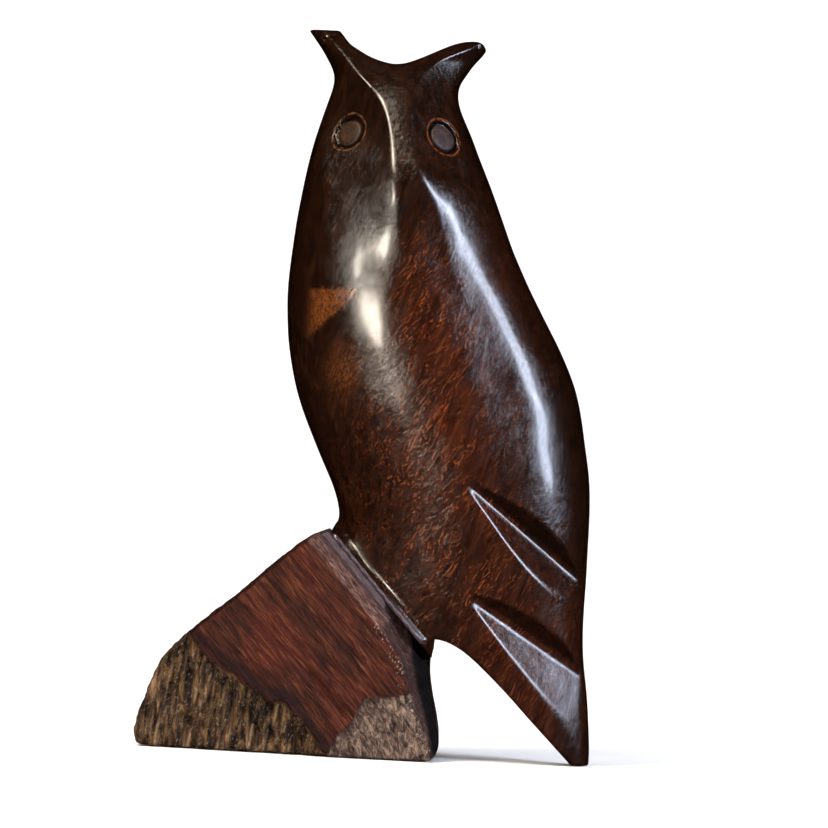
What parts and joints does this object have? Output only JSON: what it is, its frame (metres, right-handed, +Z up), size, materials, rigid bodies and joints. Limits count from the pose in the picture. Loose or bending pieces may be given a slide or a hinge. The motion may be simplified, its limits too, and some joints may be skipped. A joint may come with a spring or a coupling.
{
  "type": "carved wooden owl figurine",
  "caption": "Carved dark hardwood owl with ear tufts, inlaid eyes and gouged wings, seated on a rough wedge-shaped wooden perch.",
  "frame": {"origin": "on the ground under the perch and the tail tip, at the middle of the outline", "axes": "+Z up, the owl faces -Y, its tail hangs towards +X"},
  "size_m": [0.0944, 0.0427, 0.15],
  "materials": {
    "polished_wood": "sanded and waxed to a gloss, dark brown with reddish figure",
    "rough_wood": "rasped and unpolished, partly weathered grey",
    "left_eye_wood": "polished end grain, brown",
    "right_eye_wood": "polished end grain, grey-brown",
    "dowel_wood": "plain turned dowel, unfinished"
  },
  "bodies": {
    "root": {"owl_body": "polished_wood", "perch_base": "rough_wood", "left_eye_plug": "left_eye_wood", "right_eye_plug": "right_eye_wood", "upper_perch_dowel": "dowel_wood", "lower_perch_dowel": "dowel_wood"}
  },
  "joints": []
}
